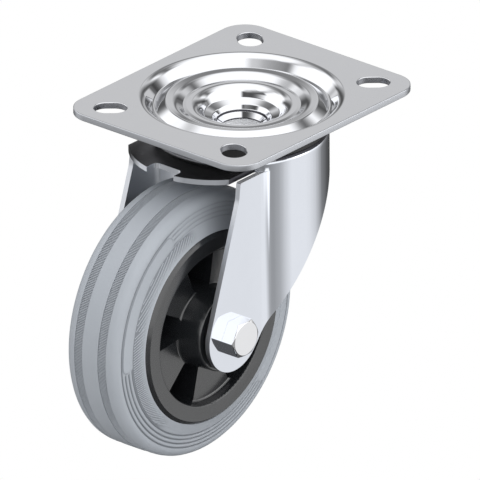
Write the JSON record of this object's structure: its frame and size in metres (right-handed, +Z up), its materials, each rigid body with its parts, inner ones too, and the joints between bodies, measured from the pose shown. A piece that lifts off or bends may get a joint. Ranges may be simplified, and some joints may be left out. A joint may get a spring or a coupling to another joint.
{
  "type": "swivel castor",
  "caption": "Plate-mounted swivel castor: pressed fork on a double ball head, with a rubber-tyred wheel on a roller bearing and bolt axle.",
  "frame": {"origin": "on the swivel axis, at the top face of the mounting plate", "axes": "+Z up along the swivel axis, out of the plate's top face; Y along the axle; the wheel trails towards -X, and the bolt's head is on the -Y side"},
  "size_m": [0.135, 0.085, 0.125],
  "materials": {
    "zinc_plate": "bright zinc plating, satin on the flat top",
    "zinc_fork": "bright zinc plating, glossy",
    "zinc_bolt": "bright zinc plating",
    "bearing_steel": "hardened steel, polished",
    "tyre_rubber": "matt blue-grey rubber, finely ribbed bands",
    "rim_plastic": "black moulded plastic, satin",
    "cage_plastic": "natural plastic",
    "cap_plastic": "black moulded plastic",
    "washer_plastic": "black plastic",
    "insert_plastic": "blue plastic"
  },
  "bodies": {
    "plate": {"top_plate": "zinc_plate", "kingpin": "zinc_plate", "lower_race": "zinc_plate"},
    "ball_rows": {"upper_ball_01": "bearing_steel", "upper_ball_02": "bearing_steel", "upper_ball_03": "bearing_steel", "upper_ball_04": "bearing_steel", "upper_ball_05": "bearing_steel", "upper_ball_06": "bearing_steel", "upper_ball_07": "bearing_steel", "upper_ball_08": "bearing_steel", "upper_ball_09": "bearing_steel", "upper_ball_10": "bearing_steel", "upper_ball_11": "bearing_steel", "upper_ball_12": "bearing_steel", "upper_ball_13": "bearing_steel", "upper_ball_14": "bearing_steel", "upper_ball_15": "bearing_steel", "upper_ball_16": "bearing_steel", "upper_ball_17": "bearing_steel", "upper_ball_18": "bearing_steel", "upper_ball_19": "bearing_steel", "upper_ball_20": "bearing_steel", "upper_ball_21": "bearing_steel", "upper_ball_22": "bearing_steel", "upper_ball_23": "bearing_steel", "upper_ball_24": "bearing_steel", "upper_ball_25": "bearing_steel", "upper_ball_26": "bearing_steel", "lower_balls": "bearing_steel"},
    "fork": {"fork": "zinc_fork", "axle_bolt": "zinc_bolt", "lock_nut": "zinc_bolt", "nut_insert": "insert_plastic", "axle_tube": "bearing_steel", "thrust_washer_near": "washer_plastic", "thrust_washer_far": "washer_plastic"},
    "wheel": {"rim": "rim_plastic", "tyre": "tyre_rubber", "bearing_sleeve": "bearing_steel", "hub_cap_near": "cap_plastic", "hub_cap_far": "cap_plastic"},
    "roller_set": {"roller_cage": "cage_plastic", "roller_01": "bearing_steel", "roller_02": "bearing_steel", "roller_03": "bearing_steel", "roller_04": "bearing_steel", "roller_05": "bearing_steel", "roller_06": "bearing_steel", "roller_07": "bearing_steel", "roller_08": "bearing_steel", "roller_09": "bearing_steel", "roller_10": "bearing_steel"}
  },
  "joints": [
    {"name": "swivel", "type": "hinge", "parent": "plate", "child": "fork", "pos_m": [0, 0, 0], "axis": [0, 0, 1], "continuous": true},
    {"name": "ball_roll", "type": "hinge", "parent": "plate", "child": "ball_rows", "pos_m": [0, 0, 0], "axis": [0, 0, 1], "continuous": true},
    {"name": "wheel_spin", "type": "hinge", "parent": "fork", "child": "wheel", "pos_m": [-0.035, 0, -0.075], "axis": [0, 1, 0], "continuous": true},
    {"name": "cage_roll", "type": "hinge", "parent": "fork", "child": "roller_set", "pos_m": [-0.035, 0, -0.075], "axis": [0, 1, 0], "continuous": true}
  ],
  "couplings": [
    {"joint": "ball_roll", "follows": "swivel", "ratio": 0.5},
    {"joint": "cage_roll", "follows": "wheel_spin", "ratio": 0.6}
  ]
}
